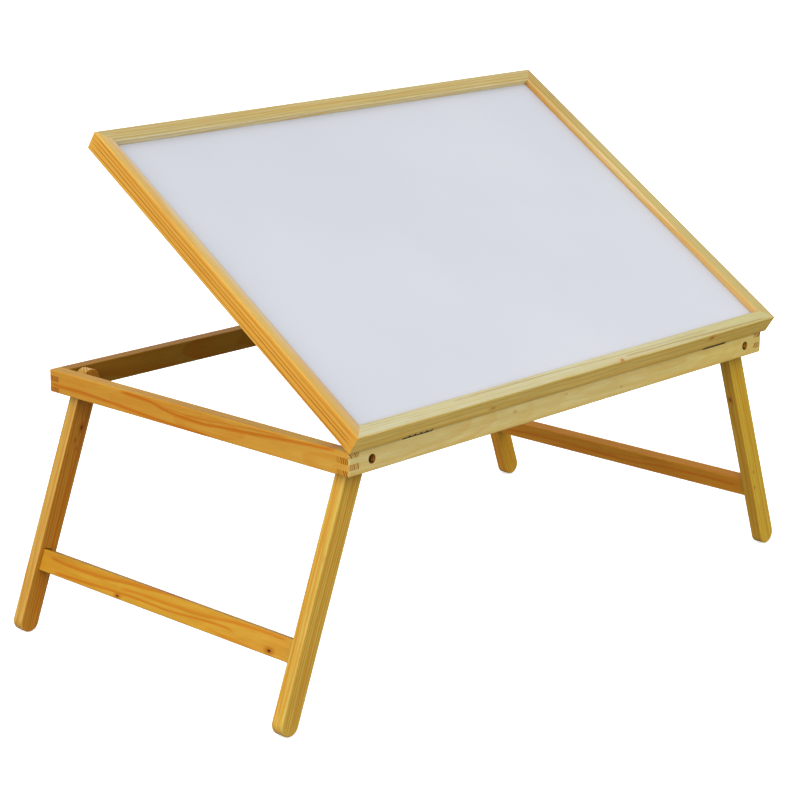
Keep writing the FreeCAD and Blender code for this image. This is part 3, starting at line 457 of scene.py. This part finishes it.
# painted light and shade on the legs: each leg's side face and front face are tinted lighter and darker as the light
# falls on it
SIDE_LIGHT_TINTS = {"left_front_leg": (0.99, 1.07, 1.15), "left_back_leg": (1.01, 1.15, 1.45),
         "right_front_leg": (0.95, 0.88, 0.85), "right_back_leg": (1.0, 0.77, 0.70)}
FRONT_LIGHT_TINTS = {"left_front_leg": (0.99, 1.11, 1.21), "left_back_leg": (0.94, 0.78, 0.49),
          "right_front_leg": (1.10, 1.22, 1.12), "right_back_leg": (1.14, 1.04, 0.74)}
for side, px in (("left", 28.7), ("right", 571.8)):
    a = SPLAY[side]
    down = (-math.sin(a), 0, -math.cos(a))
    wide = (math.cos(a), 0, -math.sin(a))
    for k, (which, y) in enumerate((("front", 21.8), ("back", 383.2))):
        o = base_pt(px, y, -11) + Vector(down) * 0.12
        sd = (1.0 if side == "left" else 31.0) + 17 * k
        leg = side + "_" + which + "_leg"
        paint(leg, pine("pine_" + leg, o, down, wide, *tones(TONE_AND_SHADE[leg]),
                        pith=(0.055 if k else -0.06, 0.035), ring=0.0029, seed=sd, drift=(0.012, 0.02), wave=0.003,
                        contrast=0.85, tone=0.2, streak=0.6, patch=0.8, end=(0.60, 0.37, 0.11), knots=KNOTS.get(leg, ()),
                        light_and_tone_tints=(("nw", 0.4, 0.9, FRONT_LIGHT_TINTS[leg]), ("nv", -0.4, -0.9, SIDE_LIGHT_TINTS[leg])),
                        curves=CURVES.get(leg, ())))
    o = base_pt(px, 202, -11) + Vector(down) * 0.1786
    left = side == "left"
    paint(side + "_stretcher", pine(
        "pine_" + side + "_stretcher", o, (0, 1, 0), down, *tones(TONE_AND_SHADE[side + "_stretcher"]),
        pith=(0.02, 0.05), ring=0.0050, seed=41.0 if left else 57.0, drift=(0.012, 0.03), contrast=0.3, patch=1.0,
        tone=0.2, light_and_tone_tints=(("u", 0.02, 0.17, (0.95, 0.87, 0.65)), ("u", -0.02, -0.17, (1.07, 1.07, 1.4))) if left else (),
        knots=((58.7, 7.6, "v", 1.3, 1.0), (-145.4, 6.0, "v", 1.6, 1.0)) if left else (),
        curves=(([(168, -5.7), (110, -2.5), (56, -5.8), (5, -9.8), (-45, -12.6)], "v", 3.6, 0.75),
                ([(155, 8.4), (114, 7.0), (70, 4.8), (28, 3.7), (-14, 3.8), (-54, 1.7), (-83, 0.8), (-103, 7.5)], "v", 2.6, 0.8),
                ([(60, 0.5), (10, -1.5), (-40, -2.0), (-80, -4.6), (-125, -7.5), (-168, -8.0)], "v", 3.0, 0.65),
                ([(-60, 6.5), (-95, 9.0), (-130, 9.5)], "v", 2.0, 0.5)) if left else
               (([(165, 3.0), (80, 1.0), (0, 3.5), (-80, -1.0), (-165, 0.0)], "v", 3.0, 0.6),)))

paint("tray_panel", laminate("white_laminate"))
# painted shade: the right hinge's brass is made dark so the slit between its leaves reads dark
brass_darkened_as_shade = metal("hinge_brass", (0.34, 0.235, 0.10), (0.16, 0.105, 0.045), 0.42, 0)
brass_left = metal("hinge_brass_left", (0.80, 0.64, 0.34), (0.62, 0.46, 0.22), 0.55, 0,
                   knuckle_gap_shade=(base_pt(66.8, 0, 0).x, 0.0074, 0.0022))
zinc = metal("zinc_steel", (0.56, 0.56, 0.57), (0.40, 0.40, 0.42), 0.34, 1)
# painted shade: the pivot screws down in the counterbores are coloured near black
screw_shade_steel = metal("pivot_screw_steel", (0.085, 0.060, 0.038), (0.045, 0.030, 0.020), 0.5, 1)
for n in ("left_hinge_base_leaf", "left_hinge_tray_leaf"):
    paint(n, brass_left)
for n in ("right_hinge_base_leaf", "right_hinge_tray_leaf"):
    paint(n, brass_darkened_as_shade)
for n in ("left_hinge_pin", "right_hinge_pin", "hinge_base_screws", "hinge_tray_screws", "tray_corner_nails",
          "prop_brackets", "prop_bracket_screws", "prop_pivot_pin", "prop_clamp_stud", "prop_clamp_washers",
          "prop_wing_nut", "left_pivot_washers", "right_pivot_washers"):
    paint(n, zinc)
for n in ("left_pivot_screws", "right_pivot_screws"):
    paint(n, screw_shade_steel)

# ---------------------------------------------------------------------------
# Floor, light and camera
# ---------------------------------------------------------------------------
bpy.ops.mesh.primitive_plane_add(size=40.0, location=(0, 0, -0.0004))
floor = bpy.context.object
floor.name = "floor"
ft = Tree("floor_pale")
ftc = ft.n("ShaderNodeTexCoord")
fn = ft.noise(ft.vm("SCALE", ftc.outputs["Object"], 1.5), 1.0, 2.0)
ft.put(ft.mix(fn, (0.86, 0.86, 0.86), (0.89, 0.89, 0.89)), ft.bsdf.inputs["Base Color"])
ft.bsdf.inputs["Roughness"].default_value = 0.9
ft.bsdf.inputs["Specular IOR Level"].default_value = 0.1
floor.data.materials.append(ft.mat)
ft.bsdf.inputs["Emission Color"].default_value = (1, 1, 1, 1)
ft.bsdf.inputs["Emission Strength"].default_value = 0.5
floor.visible_diffuse = False
floor.visible_glossy = False

world = bpy.data.worlds.new("studio") if not bpy.data.worlds else bpy.data.worlds[0]
bpy.context.scene.world = world
world.use_nodes = True
wt = world.node_tree
wt.nodes.clear()
w_out = wt.nodes.new("ShaderNodeOutputWorld")
w_bg = wt.nodes.new("ShaderNodeBackground")
wt.links.new(w_bg.outputs[0], w_out.inputs[0])
w_tc = wt.nodes.new("ShaderNodeTexCoord")
w_sep = wt.nodes.new("ShaderNodeSeparateXYZ")
wt.links.new(w_tc.outputs["Generated"], w_sep.inputs[0])


def w_range(src, a, b, lo_, hi_):
    n = wt.nodes.new("ShaderNodeMapRange")
    n.interpolation_type = "SMOOTHSTEP"
    wt.links.new(src, n.inputs[0])
    for k, v in enumerate((a, b, lo_, hi_)):
        n.inputs[k + 1].default_value = v
    return n.outputs[0]


# a tent of soft light above, a dim ground, and a softbox high on the right
w_dot = wt.nodes.new("ShaderNodeVectorMath")
w_dot.operation = "DOT_PRODUCT"
wt.links.new(w_tc.outputs["Generated"], w_dot.inputs[0])
w_dot.inputs[1].default_value = Vector((0.70, 0.05, 0.71)).normalized()
w_add = wt.nodes.new("ShaderNodeMath")
w_add.operation = "ADD"
wt.links.new(w_range(w_sep.outputs[2], -0.12, 0.22, 0.24, 0.58), w_add.inputs[0])
wt.links.new(w_range(w_dot.outputs["Value"], 0.88, 0.97, 0.0, 0.8), w_add.inputs[1])
wt.links.new(w_add.outputs[0], w_bg.inputs[1])
w_bg.inputs[0].default_value = (0.96, 0.98, 1.0, 1)
# the tent itself looks as white as the floor
w_white = wt.nodes.new("ShaderNodeBackground")
w_white.inputs[0].default_value = (1, 1, 1, 1)
w_path = wt.nodes.new("ShaderNodeLightPath")
w_mix = wt.nodes.new("ShaderNodeMixShader")
wt.links.new(w_path.outputs["Is Camera Ray"], w_mix.inputs[0])
wt.links.new(w_bg.outputs[0], w_mix.inputs[1])
wt.links.new(w_white.outputs[0], w_mix.inputs[2])
wt.links.new(w_mix.outputs[0], w_out.inputs[0])


def sun(name, to_light, strength, angle, color, glossy=True):
    data = bpy.data.lights.new(name, "SUN")
    data.energy = strength
    data.angle = math.radians(angle)
    data.color = color
    o = bpy.data.objects.new(name, data)
    bpy.context.scene.collection.objects.link(o)
    o.rotation_euler = Vector(to_light).to_track_quat("Z", "Y").to_euler()
    o.visible_glossy = glossy


sun("key", (-0.88, -0.22, 0.42), 3.98, 80, (1.0, 0.985, 0.96))
sun("front", (0.10, -0.85, 0.52), 1.55, 60, (1.0, 1.0, 1.0))
sun("back", (0.62, 0.75, 0.20), 1.70, 50, (0.98, 0.99, 1.0), glossy=False)

cam_data = bpy.data.cameras.new("camera")
cam = bpy.data.objects.new("camera", cam_data)
bpy.context.scene.collection.objects.link(cam)
cam.location = base_pt(-1318.40, -1315.91, 563.71)
az, el = math.radians(-46.396), math.radians(15.516)
fwd = Vector((-math.sin(az) * math.cos(el), math.cos(az) * math.cos(el), -math.sin(el)))
cam.rotation_euler = fwd.to_track_quat("-Z", "Y").to_euler()
cam_data.lens = 103.805
cam_data.sensor_width = 36
cam_data.clip_end = 100
bpy.context.scene.camera = cam
bpy.context.scene.view_settings.view_transform = "Standard"
bpy.context.scene.view_settings.look = "None"
